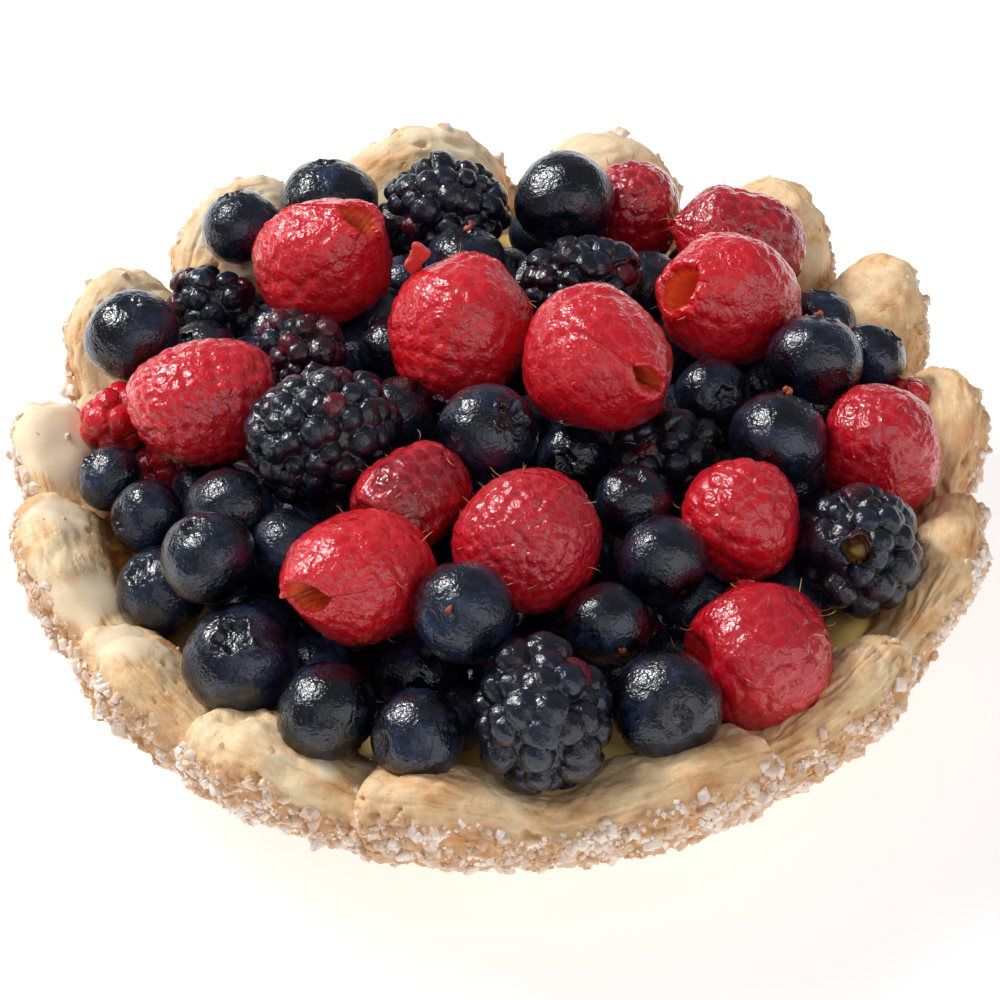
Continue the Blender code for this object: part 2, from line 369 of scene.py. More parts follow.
TUCK = 8.0                           # degrees that a low end runs on under its neighbour
LAP = 2.5                            # degrees that a head laps over the next petal


def blend(pair, bearing):
    """Between the value at the front of the tart and the value at its back."""
    front, rear = pair
    return front + (rear - front) * (1 + np.sin(np.radians(bearing))) / 2


def petal_rise(low_end, head_end, bearing):
    """0 where a petal is low and 1 at its head. Those at the back stand up as tongues."""
    along_petal = (bearing - low_end) / (head_end - low_end)
    inside = np.clip(along_petal, 0, 1)
    ramped = np.sin(np.pi * inside ** 2) ** 0.6
    ramped = np.maximum(ramped, 0.8 * smooth_step(0.5, 0.8, inside) * (inside > 0.7))
    tongue = np.sin(np.pi * np.clip((along_petal - 0.06) / 0.86, 0, 1) ** 1.1) ** 0.42
    at_back = smooth_step(-0.16, 0.24, np.sin(np.radians(bearing)))
    return ramped + (tongue - ramped) * at_back


def ridge_radius(bearing, rise=0.5):
    """The hand-pressed shell is not round: it bulges on the left and at the back right."""
    bulge = 1.8 * np.cos(np.radians(bearing - 168)) + 2.0 * np.exp(-((bearing - 42) / 28) ** 2)
    return RIDGE_RADIUS + 1.2 * rise + bulge


def rim_section(bearing, rise):
    """The corners of the rim's closed section: inside foot, over the top, outside, under."""
    top = blend(VALLEY_HEIGHT, bearing)
    top = top + (blend(HEAD_HEIGHT, bearing) - top) * rise
    recess = (1 - rise) * (0.6 + 4.2 * np.cos(np.radians(bearing)) ** 2)
    ridge = ridge_radius(bearing, rise) - 0.4 * recess
    reach = blend(REACH, bearing) - 0.5 * recess
    lip = ridge - 2.6 - 0.6 * rise
    shelf = smooth_step(0.4, 0.85, -np.sin(np.radians(bearing)))
    tall = top - BELLY
    corners = (
        (54.5 + 0 * top, 18.5 + 0 * top),
        (0.85 * 56.5 + 0.15 * lip - shelf, 20.5 + (0.25 + 0.12 * shelf) * (top - 20.5)),
        (0.5 * 56.5 + 0.5 * lip - shelf, 20.5 + (0.66 + 0.08 * shelf) * (top - 20.5)),
        (lip, top - 0.9),
        (ridge - 0.2, top),
        (ridge + 0.55 * reach, top - 0.9),
        (ridge + reach, top - 0.18 * tall),
        (ridge + 0.95 * reach, top - 0.4 * tall),
        (ridge + 0.45 * reach, BELLY + 0.36 * tall),
        (62.5 + 0 * top, BELLY + 0 * top),
        (55.5 + 0 * top, 12.5 + 0 * top),
        (53.5 + 0 * top, 15.5 + 0 * top),
    )
    return np.array([np.stack(corner, axis=-1) for corner in corners])


def along_loop(corners, share):
    """Where a smooth closed curve through the corners is, at each share of its way round."""
    spot = share * len(corners)
    first = np.floor(spot).astype(int)
    f = (spot - first)[:, None]
    each = np.arange(len(share))
    near = (corners[(first + step) % len(corners), each] for step in (-1, 0, 1, 2))
    return curve_between(*near, f)


def petal_shape(low_end, head_end, around=136, along=108):
    """One petal. Gives its mesh, and where each point lies along it and round it."""
    mesh = unit_ball(around, along)
    ball = read_points(mesh)
    share = np.arctan2(ball[:, 1], ball[:, 0]) / math.tau % 1.0
    sweep = (1 + ball[:, 2]) / 2
    way = 1 if head_end > low_end else -1
    bearing = low_end - way * TUCK + sweep * (head_end - low_end + way * (TUCK + LAP))
    corners = rim_section(bearing, petal_rise(low_end, head_end, bearing))
    section = along_loop(corners, share)
    middle = corners[4] - np.array((1.0, 6.0))
    closing = np.minimum(sweep / 0.14, (1 - sweep) / 0.09).clip(0, 1)
    section = middle + np.sqrt(1 - (1 - closing) ** 2)[:, None] * (section - middle)
    angle = np.radians(bearing)
    out, up = section[:, 0], section[:, 1]
    write_points(mesh, np.stack((out * np.cos(angle), out * np.sin(angle), up), axis=-1))
    face_outwards(mesh)
    return mesh, sweep, share


print("the rim's section has", len(rim_section(np.zeros(1), np.zeros(1))), "corners")

# %% [markdown]
# ## What baking did to the dough
#
# The dough was folded and rolled, so its cut faces show thin layers that run along the
# rim. Steam left pores and blisters, and the outside, where the sugar sticks, is rough.
# All of that stands out far enough to see, so it is real relief: every point moves along
# its normal. The numbers that the material needs later are painted on at the same time.

# %% Relief and painted values
LEDGE_PITCH = 3.6                    # mm between two layers of the dough
WET_BEARING = 205                    # where juice stained the inside of the rim
SMOOTH_PATCHES = (                   # bearing, height and size of places left smooth
    (178, 33, 9.0), (193, 31, 5.5), (204, 27, 6.5), (216, 32, 5.0), (47, 24, 5.0),
    (34, 26, 6.0), (122, 30, 4.0), (248, 34, 3.5), (100, 30, 4.0),
)
HORNS = (                            # bearing, place across the ridge, rise and size of knobs
    (172, -0.4, -1.8, 2.4), (172.5, 3.6, 1.8, 2.2), (171.5, -4.4, 1.4, 2.2),
    (238, -1.0, 1.0, 3.0), (83, 3.0, 0.8, 2.5), (40, 3.5, 0.9, 2.5),
)


def crystals(points, size, seed):
    """A random height for each angular cell about `size` mm wide, lower along its edges."""
    found = [noise.voronoi(Vector(p)) for p in (points / size + seed).tolist()]
    apart = np.array([spots[0][1] - spots[0][0] for spots in found])
    middles = np.array([tuple(spots[1][0]) for spots in found])
    height = np.sin(middles @ (12.9, 78.2, 37.7)) * 4375.8 % 1.0
    return height * smooth_step(0.0, 0.3, apart)


def smooth_patches(points):
    """1 inside a smooth patch of dough, 0 outside."""
    found = np.zeros(len(points))
    wobble = 0.3 * lumps(points, 4.0, 2, 7.0)
    for bearing, height, size in SMOOTH_PATCHES:
        spot = np.array((*on_circle(bearing, ridge_radius(bearing) - 2.0), height))
        away = np.linalg.norm(points - spot, axis=1) / size
        found = np.maximum(found, 1 - smooth_step(0.7, 1.0, away + wobble))
    return found


def pull_horns(points):
    """The same points, where the heads were pinched up into knobs or pressed in."""
    lifted = points.copy()
    for bearing, across, rise, size in HORNS:
        spot = np.array(on_circle(bearing, ridge_radius(bearing) + across))
        near = np.exp(-(np.linalg.norm(points[:, :2] - spot, axis=1) / size) ** 2)
        lifted[:, 2] += rise * near * smooth_step(28, 33, points[:, 2])
    return lifted


def folds(share, sweep, points, rng):
    """Long creases where one layer of dough laps over the next."""
    depth = np.zeros(len(share))
    for _ in range(4):
        line = rng.uniform(0.2, 0.5) + 0.016 * lumps(points, 7.0, 3, rng.uniform(0, 50))
        away = (share - line) * 62.0
        thin = rng.uniform(0.3, 0.55)
        middle, half = rng.uniform(0.25, 0.9), rng.uniform(0.12, 0.4)
        reach = 1 - smooth_step(0.6, 1.0, np.abs(sweep - middle) / half)
        ledge = (np.exp(-np.maximum(away, 0) / 0.5) * (away > 0)
                 + np.exp(away / 2.2) * (away <= 0))
        depth += rng.uniform(0.15, 0.5) * reach * (np.exp(-(away / thin) ** 2) - 0.4 * ledge)
    return depth


def bake(mesh, share, sweep, flakiness, painted_light_paleness, seed):
    """Give a petal its layers, folds and pores, and paint what the material reads."""
    points = read_points(mesh)
    normals = read_normals(mesh)
    rng = np.random.default_rng(int(seed))
    outside = smooth_step(5.1 / 12, 6.3 / 12, share + 0.03 * lumps(points, 4.0, 2, seed + 1))
    outside = outside * (1 - smooth_step(9.5 / 12, 10.5 / 12, share))
    cream = smooth_patches(points) * (1 - outside)
    broad = lumps(points, 8.0, 2, seed)
    middling = lumps(points, 3.0, 2, seed + 3)
    fine = lumps(points, 1.2, 2, seed + 5)
    layer = (share * 60.0 / LEDGE_PITCH + 1.2 * lumps(points, 8.0, 3, seed + 9)) % 1.0
    ledge = smooth_step(0.0, 0.12, layer) * (1 - smooth_step(0.12, 0.9, layer))
    strength = smooth_step(-0.1, 0.4, lumps(points, 6.0, 2, seed + 13)) * (1 - cream)
    strength = strength * (1 - 0.7 * outside) * flakiness
    pit = smooth_step(0.36, 0.5, lumps(points, 1.6, 1, seed + 17))
    pit = pit * smooth_step(0.1, 0.35, lumps(points, 7.0, 2, seed + 19)) * (1 - cream)
    crease = folds(share, sweep, points, rng) * (1 - cream) * (1 - outside)
    crease = crease * min(1.4, 0.4 + flakiness)
    sugared = crystals(points, 1.5, seed + 23)
    push = 0.6 * broad + (0.35 - 0.25 * cream) * middling + 0.3 * cream
    push = push - 0.7 * pit * (1 - outside)
    push = push + (0.1 + 0.2 * (flakiness > 0.95)) * strength * (ledge - 0.3) - crease
    scales = crystals(points, 5.0, seed + 37)
    scales = scales * smooth_step(-0.1, 0.25, lumps(points, 7.0, 1, seed + 41))
    push = push + 0.55 * scales * (1 - cream)
    push = push + 0.17 * (1 - cream) * fine + outside * (0.4 * middling + 0.9 * sugared - 0.2)
    write_points(mesh, pull_horns(points + push[:, None] * normals))
    thick = smooth_step(-0.35, 0.25, lumps(points, 5.0, 2, seed + 29))
    from_left = np.arctan2(points[:, 1], points[:, 0]) - math.radians(WET_BEARING)
    wet = (1 - smooth_step(1.2 / 12, 2.6 / 12, share)) * (np.cos(from_left) > 0.7)
    # Paleness paints the petals on the side the lights come from paler: painted light, kept with
    # the smooth cream patches.
    pale = painted_light_paleness * smooth_step(-0.4, 0.3, lumps(points, 7.0, 2, seed + 31)) * (1 - outside)
    paint(mesh, "cream", np.maximum(cream, pale))
    # Creases, pits and the gaps between layers are painted darker: painted shade.
    deep = np.maximum(pit, 1.3 * crease)
    paint(mesh, "crevice_painted_shade", np.maximum(0.4 * strength * (1 - ledge), deep))
    paint(mesh, "outside", outside)
    paint(mesh, "sugared", outside * smooth_step(0.2, 0.45, sugared) * (0.35 + 0.65 * thick))
    paint(mesh, "stained", wet)
    paint(mesh, "across", share)
    paint(mesh, "along", sweep)
    return outside


print("smooth patches:", len(SMOOTH_PATCHES))

# %% [markdown]
# ## Baked sweet pastry
#
# Short sweet pastry is matt and pale gold, darker where the oven browned thin edges and
# blisters, and cream white where loose flour or smooth dough stayed covered. Creases, pits
# and the gaps between layers are painted darker, as painted shade, and the petals on the
# side the lights come from are painted paler, as painted light. Light goes a little way
# into it, which keeps its shadows warm. Pores under a millimetre wide are only drawn as
# bump, because the relief is not that fine.

# %% Pastry material
PETAL_VALUES = ("cream", "crevice_painted_shade", "outside", "sugared", "stained", "across", "along")


def sweet_pastry():
    finish, tree, shader, place = new_finish("baked_sweet_pastry")
    painted = {name: painted_value(tree, name) for name in PETAL_VALUES}
    drawn = add_node(tree, "CombineXYZ", {}, {
        "X": scaled(tree, painted["across"], 70.0),
        "Y": scaled(tree, painted["along"], 7.0),
    }).outputs["Vector"]
    layers = add_node(tree, "TexNoise", {"Scale": 0.9, "Detail": 3.0, "Distortion": 0.3},
                      {"Vector": drawn}).outputs["Fac"]
    blotches = grain(tree, place, 6.0, 5.0, 0.6)
    gold = ramp(tree, blotches, (0.3, colour("F8E2BC")), (0.45, colour("F1CD9A")),
                (0.6, colour("E3B07A")), (0.76, colour("CC8D55")))
    speckles = step_up(tree, grain(tree, place, 0.9, 4.0, 0.6), 0.5, 0.72)
    gold = mix(tree, scaled(tree, speckles, 0.35), gold, colour("C98C54"))
    streaks = scaled(tree, step_up(tree, layers, 0.42, 0.75), 0.6)
    streaked = mix(tree, streaks, gold, colour("F7DCAE"))
    spots = step_up(tree, grain(tree, place, 3.0, 5.0, 0.65), 0.5, 0.66)
    baked = combine(tree, "ADD", scaled(tree, painted["outside"], 0.4), 0.42)
    toast = mix(tree, scaled(tree, spots, baked), streaked, colour("CF8A45"))
    browned = mix(tree, scaled(tree, painted["outside"], 0.7), toast, colour("C88B50"))
    side = mix(tree, painted["sugared"], browned, colour("DEB993"))
    # Painted shade: creases, pits and the gaps between layers are darkened to brown.
    dark = mix(tree, scaled(tree, painted["crevice_painted_shade"], 0.7), side, colour("B0763A"))
    # Cream white where the dough stayed smooth, and paler on the petals on the side the lights
    # come from: painted light.
    smooth = mix(tree, painted["cream"], dark, colour("F2DEBC"))
    smooth = mix(tree, painted["stained"], smooth, colour("A9622A"))
    tree.links.new(smooth, shader.inputs["Base Color"])
    gloss = ramp(tree, painted["stained"], (0.0, grey(0.58)), (1.0, grey(0.15)))
    tree.links.new(gloss, shader.inputs["Roughness"])
    set_sockets(shader, {
        "Specular IOR Level": 0.35, "Subsurface Weight": 0.15,
        "Subsurface Radius": (1.0, 0.6, 0.3), "Subsurface Scale": 1.2 * MM,
    })
    pores = step_up(tree, grain(tree, place, 0.8, 2.0), 0.3, 0.42)
    crumb = grain(tree, place, 0.4, 4.0, 0.65)
    speckled = combine(tree, "ADD", scaled(tree, pores, 0.5), crumb)
    height = combine(tree, "ADD", speckled, scaled(tree, layers, 0.15))
    rough = combine(tree, "SUBTRACT", 1.0, scaled(tree, painted["cream"], 0.8))
    add_bump(tree, shader, scaled(tree, height, rough), 0.6, 0.25)
    return finish


pastry = sweet_pastry()
rim_spots, rim_normals, rim_weights, rim_areas = [], [], [], []
for number, (low_end, head_end, flakiness, painted_light_paleness) in enumerate(PETALS, 1):
    mesh, sweep, share = petal_shape(low_end, head_end)
    outside = bake(mesh, share, sweep, flakiness, painted_light_paleness, 11.0 * number)
    corners = read_numbers(mesh.loops, "vertex_index", kind=np.int32)
    first = read_numbers(mesh.polygons, "loop_start", kind=np.int32)
    rim_spots.append(read_numbers(mesh.polygons, "center", 3))
    rim_normals.append(read_numbers(mesh.polygons, "normal", 3))
    rim_weights.append(outside[corners[first]])
    rim_areas.append(read_numbers(mesh.polygons, "area"))
    add_piece(f"petal_{number:02d}", mesh, pastry, ("crust",))
print("petals made:", len(PETALS))

# %% [markdown]
# ## The shell under the rim
#
# Below the petals the crust is a plain bowl: a flat underside, a wall that flares out and
# a floor. A turned outline gives it, and a little noise makes it hand-pressed.

# %% Shell
def turned(outline, sides):
    """Spin a half outline about Z into a closed mesh. Its ends lie on the axis."""
    shape = bmesh.new()
    points = [shape.verts.new((x, 0.0, z)) for x, z in outline]
    edges = [shape.edges.new(pair) for pair in zip(points, points[1:])]
    bmesh.ops.spin(
        shape, geom=points + edges, cent=(0, 0, 0), axis=(0, 0, 1),
        angle=math.tau, steps=sides, use_merge=True, use_duplicate=False,
    )
    bmesh.ops.remove_doubles(shape, verts=shape.verts, dist=1e-5)
    bmesh.ops.recalc_face_normals(shape, faces=shape.faces)
    return as_mesh(shape)


def finer(outline, step):
    """The same outline with points at most `step` millimetres apart."""
    fine = [outline[0]]
    for start, end in zip(outline, outline[1:]):
        pieces = max(1, math.ceil(math.dist(start, end) / step))
        for piece in range(1, pieces + 1):
            share = piece / pieces
            fine.append(tuple(a + share * (b - a) for a, b in zip(start, end)))
    return fine


shell_outline = (
    (0, 0), (44, 0), (48, 1), (52, 5), (57, 10), (62, 15), (64.5, 20), (62, 22.5),
    (59, 20.5), (54, 14), (46, 6.2), (0, 6.2),
)
shell = turned(finer(shell_outline, 1.4), 240)
points = read_points(shell)
push = 0.5 * lumps(points, 10.0, 2) + 0.2 * lumps(points, 2.5, 2, 4.0)
push = push * smooth_step(0.0, 2.0, points[:, 2])
write_points(shell, points + push[:, None] * read_normals(shell))
points = read_points(shell)
points[:, 2] = np.maximum(points[:, 2], 0.0)
write_points(shell, points)
wall = smooth_step(52, 60, np.hypot(points[:, 0], points[:, 1]))
for name in PETAL_VALUES:
    paint(shell, name, wall if name == "outside" else 0 * wall)
add_piece("crust_shell", shell, pastry, ("crust",))
print("shell made")

# %% [markdown]
# ## Custard
#
# Vanilla custard is a set cream: smooth, pale yellow, glossy where it is wet. It fills the
# shell under the fruit and only shows where berries and rim leave a gap. It is a turned
# disc with slow waves, as left by the back of a spoon.

# %% Custard
def set_custard():
    finish, tree, shader, place = new_finish("set_vanilla_custard")
    shade = ramp(tree, grain(tree, place, 9.0, 3.0), (0.35, colour("FFDD8A")),
                 (0.7, colour("FFCB6C")))
    tree.links.new(shade, shader.inputs["Base Color"])
    set_sockets(shader, {
        "Roughness": 0.32, "Subsurface Weight": 0.3, "Subsurface Radius": (1.0, 0.7, 0.25),
        "Subsurface Scale": 2.5 * MM, "Coat Weight": 0.4, "Coat Roughness": 0.12,
    })
    add_bump(tree, shader, grain(tree, place, 2.0, 3.0), 0.25, 0.4)
    return finish


DOLLOPS = ((49, -31, 5.5), (-17, -54, 3.0))      # x, y and height, pushed up by the fruit
DOLLOP_WIDTH = 7.0

custard_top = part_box("custard")[1].z / MM
custard_outline = (
    (0, 6.5), (45.5, 6.5), (58.5, custard_top - 0.6), (57, custard_top), (0, custard_top),
)
custard = turned(finer(custard_outline, 1.8), 160)
points = read_points(custard)
on_top = smooth_step(custard_top - 1.5, custard_top - 0.5, points[:, 2])
points[:, 2] += on_top * (1.2 * lumps(points * (1, 1, 0), 11.0, 2) + 0.6)
for x, y, height in DOLLOPS:
    away = np.hypot(points[:, 0] - x, points[:, 1] - y)
    points[:, 2] += on_top * height * np.exp(-(away / DOLLOP_WIDTH) ** 2)
write_points(custard, points)
add_piece("custard_filling", custard, set_custard(), ("custard",))
print("custard fills to", round(custard_top, 1), "mm")

# %% [markdown]
# ## Where a berry lies
#
# Each berry's plain solid gives its place and size. Only the way it is turned has to be
# told: a bearing and a rise, in degrees, of its crown or its tip. Turning the solid's own
# points back by that much gives its width, its length and its middle.

# %% Seat of a berry
def aim(bearing, rise):
    """The turn that points a berry's own Z to a bearing and a rise."""
    spin = Matrix.Rotation(math.radians(bearing), 3, "Z")
    return np.array(spin @ Matrix.Rotation(math.radians(90 - rise), 3, "Y"))


def seat(node, bearing, rise):
    """The turn, and the lowest and highest local corner of one plain solid, in mm."""
    turn = aim(bearing, rise)
    local = read_points(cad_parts[node].data) / MM @ turn
    return turn, local.min(axis=0), local.max(axis=0)


def settle(mesh, turn, middle):
    """Turn a berry from its own axes into its place."""
    write_points(mesh, (read_points(mesh) + middle) @ turn.T)


print("plain berries:", sum(name[:4] in ("blue", "rasp", "bram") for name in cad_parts))

# %% [markdown]
# ## Blueberries
#
# A blueberry is a slightly flattened ball. Its crown, the dried end of the flower, is a
# pit with a torn, five-pointed rim, and at the other end the stem left a small scar. The
# skin is nearly black under a dusty blue wax bloom, which the glaze wets in patches.

# %% Blueberry skin
def blueberry_skin(name, ripe, dark_dust, light_dust):
    finish, tree, shader, place = new_finish(name)
    bloom = step_up(tree, grain(tree, place, 4.5, 5.0, 0.65), 0.42, 0.66)
    dusty = ramp(tree, grain(tree, place, 0.6, 4.0, 0.65), (0.3, colour(dark_dust)),
                 (0.7, colour(light_dust)))
    skin = mix(tree, bloom, colour(ripe), dusty)
    skin = mix(tree, painted_value(tree, "crown"), skin, colour("0B0A0E"))
    skin = mix(tree, painted_value(tree, "scar"), skin, colour("4A3524"))
    tree.links.new(skin, shader.inputs["Base Color"])
    gloss = ramp(tree, bloom, (0.0, grey(0.25)), (1.0, grey(0.42)))
    tree.links.new(gloss, shader.inputs["Roughness"])
    set_sockets(shader, {"Specular IOR Level": 0.2, "Coat Weight": 0.9, "Coat Roughness": 0.17})
    add_bump(tree, shader, grain(tree, place, 0.36, 1.5, 0.6), 1.0, 0.17, coated=True)
    return finish


# %% [markdown]
# The shape is a ball that is moved in or out by how far each point is from the crown. A
# cosine of five turns tears the crown's rim into five points.

# %% Blueberry shape
BLUEBERRIES = (                      # bearing and rise of each crown, and how open it is
    (100, 65, 0.3), (120, 60, 0.4), (90, -10, 0.5), (80, 85, 0.2), (200, 60, 0.3),
    (90, 75, 0.5), (150, 40, 0.4), (20, 55, 0.3), (60, 70, 0.3), (75, 50, 0.5),
    (60, 45, 0.6), (300, 40, 0.5), (331, 50, 0.9), (170, 50, 0.5), (210, 20, 0.5),
    (100, 30, 0.4), (160, 70, 0.3), (60, 45, 0.5), (195, 55, 0.5), (250, 75, 0.7),
    (334, -24, 0.9), (30, -20, 0.6), (55, -34, 0.5), (107, 9, 0.4), (120, 10, 0.5),
    (90, 87, 0.6), (99, -31, 0.5), (80, 60, 0.4), (20, 40, 0.5), (270, 30, 0.6),
    (250, 40, 0.5), (300, 60, 0.5),
)


def blueberry(width, length, openness, seed):
    mesh = unit_ball(84, 58)
    ball = read_points(mesh)
    polar = np.degrees(np.arccos(np.clip(ball[:, 2], -1, 1)))      # 0 at the crown
    turn = np.arctan2(ball[:, 1], ball[:, 0])
    rng = np.random.default_rng(int(seed))
    star = np.cos(5 * turn + rng.uniform(0, math.tau)) + 0.6 * lumps(ball, 0.35, 2, seed)
    rim = 13.0 + 8.0 * openness + (1.5 + 2.0 * openness) * star
    lip = np.exp(-((polar - rim) / 2.8) ** 2) * (0.8 + 0.35 * star)
    pit = 1 - smooth_step(rim - 5, rim - 1.0, polar)
    scar_place = 180 - polar + 2.0 * lumps(ball, 0.3, 2, seed + 1)
    scar = 1 - smooth_step(4, 6, scar_place)
    dimple = 1 - smooth_step(5, 20, scar_place)
    points = ball * (width / 2, width / 2, length / 2)
    points[:, 2] -= 0.035 * length * smooth_step(35, 0, polar)
    bumps = 0.024 * lumps(points, 0.5 * width, 2, seed) + 0.006 * lumps(points, 1.4, 2, seed)
    bumps = bumps + openness * (0.05 * lip - 0.08 * pit) - 0.035 * dimple - 0.01 * pit
    write_points(mesh, points + (width * bumps)[:, None] * ball)
    paint(mesh, "crown", pit * (0.4 + 0.6 * openness))
    paint(mesh, "scar", scar * (rng.uniform() < 0.5))
    return mesh


GROWN = 1.035                        # the plain solids keep a gap that ripe fruit closes

skin = blueberry_skin("glazed_blueberry_skin", "03050E", "0A1020", "263552")
for number, (bearing, rise, openness) in enumerate(BLUEBERRIES, 1):
    node = f"blueberry_{number:02d}"
    turn, low, high = seat(node, bearing, rise)
    size = (high - low) * GROWN
    mesh = blueberry(max(size[0], size[1]), size[2], openness, 17.0 * number)
    settle(mesh, turn, (low + high) / 2)
    add_piece(f"{node}_fruit", mesh, skin, (node,))
print("blueberries made:", len(BLUEBERRIES))

# %% [markdown]
# ## Drupelets
#
# Raspberries and brambles are clusters of small juicy beads, each round one seed. The
# beads sit in staggered rows and press each other into rough hexagons. The relief comes
# from distances: every point looks for its nearest bead, and stands out like a dome over
# it, so that a crease forms by itself halfway to the next bead.

# %% Bead relief
def bead_rows(profile, pitch, rng, jitter=0.12):
    """Bead middles in staggered rings down a half outline, about `pitch` apart."""
    steps = np.linalg.norm(np.diff(profile, axis=0), axis=1)
    reached = np.concatenate(([0.0], np.cumsum(steps)))
    rings = max(2, round(reached[-1] / (0.9 * pitch)))
    spots = []
    for ring in range(rings + 1):
        distance = reached[-1] * ring / rings
        out = np.interp(distance, reached, profile[:, 0])
        up = np.interp(distance, reached, profile[:, 1])
        count = max(1, round(math.tau * out / pitch))
        start = rng.uniform(0, math.tau)
        for place in range(count):
            angle = start + math.tau * place / count
            spots.append((out * math.cos(angle), out * math.sin(angle), up))
    spots = np.array(spots)
    return spots + rng.normal(0, jitter * pitch, spots.shape)


def nearest_beads(points, beads):
    """Distance to the nearest bead, how much farther the next one is, and which it is."""
    away = np.linalg.norm(points[:, None, :] - beads[None, :, :], axis=2)
    which = away.argmin(axis=1)
    two = np.partition(away, 1, axis=1)
    return two[:, 0], two[:, 1] - two[:, 0], which


def dome(away, reach):
    """The height of a ball of radius `reach` at a distance from its middle."""
    return np.sqrt(np.maximum(reach ** 2 - away ** 2, 0))


# %% [markdown]
# ## Raspberries
#
# A picked raspberry is a thimble: its core stays on the plant, and the open end shows an
# orange hollow. That orange is partly the flesh's own colour and partly painted light,
# brighter to stand in for light that shines through the thin flesh. Low on each berry the
# red is painted darker, as painted shade. Glaze fills the creases between the beads and
# leaves a wet skin with broken highlights. The outline is turned first and then gets its
# beads. Ripe thimbles are soft, so some are pinched flat at the open end, or have a lobe
# that leans over it.

# %% Raspberry flesh
def raspberry_flesh():
    finish, tree, shader, place = new_finish("glazed_raspberry_flesh")
    # The red is painted darker low on each berry, as painted shade, on top of each berry's own
    # tone.
    red = ramp(tree, painted_value(tree, "tone_and_painted_shade"), (0.0, colour("7A0316")), (0.6, colour("BC051C")),
               (1.0, colour("D20A18")))
    mottled = mix(tree, step_up(tree, grain(tree, place, 3.0, 4.0), 0.45, 0.75), red,
                  colour("CE101E"))
    glazed_seams = scaled(tree, painted_value(tree, "crease"), 0.35)
    creased = mix(tree, glazed_seams, mottled, colour("EA5560"))
    # The hollow's orange is partly the flesh's own colour and partly painted light: brighter, to
    # stand in for light shining through the thin flesh.
    flesh = mix(tree, painted_value(tree, "hollow_with_painted_glow"), creased, colour("FF8450"))
    tree.links.new(flesh, shader.inputs["Base Color"])
    set_sockets(shader, {
        "Roughness": 0.35, "Specular IOR Level": 0.25, "Subsurface Weight": 0.5,
        "Subsurface Radius": (1.0, 0.1, 0.08), "Subsurface Scale": 2.5 * MM,
        "Coat Weight": 1.0, "Coat Roughness": 0.06,
    })
    wrinkles = scaled(tree, grain(tree, place, 0.36, 1.5), 1.1)
    ripples = scaled(tree, grain(tree, place, 0.9, 2.0, 0.5, 0.4), 2.0)
    add_bump(tree, shader, combine(tree, "ADD", wrinkles, ripples), 0.9, 0.2, coated=True)
    return finish


# %% [markdown]
# The half outline runs from the roof of the hollow down its inner wall, round the open rim
# and up over the outside to the tip.

# %% Raspberry shape
def rounded(corners, count):
    """A smooth open curve through a half outline's corners, as evenly spread points."""
    corners = np.array(corners, float)
    padded = np.concatenate(([2 * corners[0] - corners[1]], corners,
                             [2 * corners[-1] - corners[-2]]))
    spot = np.linspace(0, len(corners) - 1, 40 * len(corners))
    first = np.minimum(spot.astype(int), len(corners) - 2)
    f = (spot - first)[:, None]
    curve = curve_between(*(padded[first + step] for step in range(4)), f)
    steps = np.linalg.norm(np.diff(curve, axis=0), axis=1)
    reached = np.concatenate(([0.0], np.cumsum(steps)))
    even = np.linspace(0, reached[-1], count)
    curve = np.stack([np.interp(even, reached, curve[:, axis]) for axis in (0, 1)], axis=-1)
    curve[:, 0] = np.maximum(curve[:, 0], 0)
    curve[0, 0] = curve[-1, 0] = 0.0
    return curve


RASPBERRY_OUTLINE = (                # shares of the half width and the half length
    (0, -0.05), (0.22, -0.12), (0.34, -0.32), (0.41, -0.58), (0.49, -0.82), (0.62, -0.95),
    (0.82, -0.84), (0.96, -0.48), (1.0, -0.05), (0.93, 0.4), (0.71, 0.77), (0.37, 0.96),
    (0, 1.0),
)
FIRST_OUTSIDE = 5                    # the corner where the outline turns to the outside
FINE_STEPS = 104                     # points along the outline
RASPBERRIES = (      # bearing, rise, how far it rolled on, bead pitch, relief, tone
    (200, -15, (-31, -41), 2.9, 0.8, 0.9), (250, -45, (0, 0), 2.9, 0.75, 0.9),
    (200, -10, (-72, -13), 3.2, 0.6, 0.8), (10, -30, (18, -6), 3.0, 0.75, 0.9),
    (193, 5, (0, 0), 2.5, 0.8, 0.8), (45, 20, (0, -40), 2.8, 0.7, 1.0),
    (270, 50, (0, 0), 2.1, 0.8, 0.6), (290, 70, (0, 0), 3.4, 0.8, 0.8),
    (285, -15, (0, 0), 3.3, 0.6, 0.6), (180, 75, (0, 0), 3.0, 0.5, 0.6),
    (60, 70, (0, 0), 3.0, 0.7, 0.3), (0, -18, (0, 0), 3.0, 0.7, 0.3),
    (45, 0, (0, 0), 3.0, 0.7, 0.15), (240, 30, (0, 0), 4.4, 1.4, 0.9),
    (200, -20, (0, 0), 3.5, 1.4, 0.3), (60, 40, (0, 0), 3.0, 0.9, 1.0),
)
SOFTNESS = {         # number: pinch, its turn, how far the mouth closes, a lobe's lean, its turn
    1: (0.28, 100, 0.4, 0.8, 280), 2: (0.1, 0, 0.55, 0.3, 90), 3: (0.32, 63, 0.45, 0.5, 243),
    4: (0.15, 90, 0.3, 0.8, 0), 6: (0.2, 148, 0.35, 1.4, 136), 9: (0.1, 0, 0.7, 0.4, 60),
    12: (0.0, 0, 0.85, 0.0, 0),
}
FIRM = (0.05, 0, 0.1, 0.3, 0)        # the softness of all the others
DENTS = {9: ((-0.8, -0.15, 0.3), 3.6, 3.8)}      # number: where (aside, above, near), depth, size

thimble = turned([tuple(point) for point in rounded(RASPBERRY_OUTLINE, FINE_STEPS)], 128)


